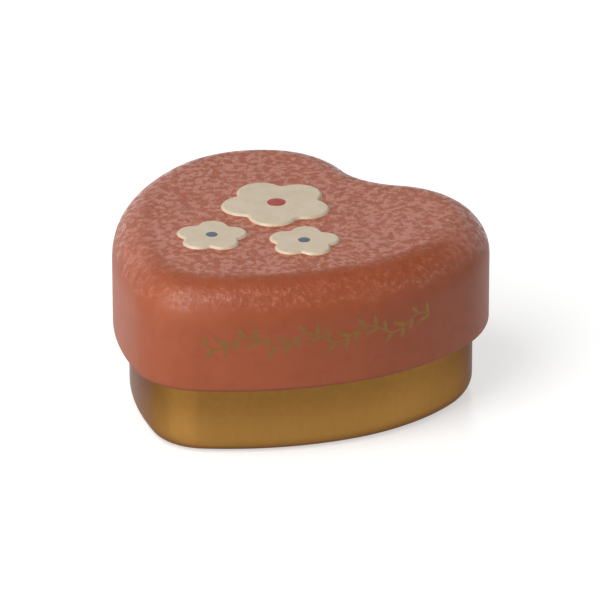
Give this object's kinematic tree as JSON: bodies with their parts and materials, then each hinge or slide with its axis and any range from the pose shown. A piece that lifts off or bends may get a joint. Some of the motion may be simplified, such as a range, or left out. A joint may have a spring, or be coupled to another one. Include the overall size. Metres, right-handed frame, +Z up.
{
  "type": "keepsake tin",
  "caption": "Heart-shaped keepsake tin for milk teeth: a drawn metal base under a deep lift-off lid with a wide rounded shoulder and raised enamel blossoms.",
  "frame": {"origin": "middle of the tin's width and length, on the plane that the base stands on", "axes": "+Z up, the way the lid lifts; +Y towards the notch of the heart, so the tip points to -Y; +X to the right when looking from the tip towards the notch"},
  "size_m": [0.06, 0.0594, 0.0295],
  "materials": {
    "lid_print": "satin coral rose print over tinplate, sponged with fine light flecks on the top",
    "gold_lacquer": "satin gold lacquer over tinplate",
    "cream_enamel": "satin cream enamel",
    "red_enamel": "satin red enamel",
    "blue_enamel": "satin blue-grey enamel"
  },
  "bodies": {
    "base": {"base_cup": "gold_lacquer"},
    "lid": {"lid_shell": "lid_print", "blossom_enamel": "cream_enamel", "blossom_heart_red": "red_enamel", "blossom_hearts_blue": "blue_enamel"}
  },
  "joints": [
    {"name": "lid_lift", "type": "slide", "parent": "base", "child": "lid", "axis": [0, 0, 1], "range_m": [0, 0.04]}
  ]
}
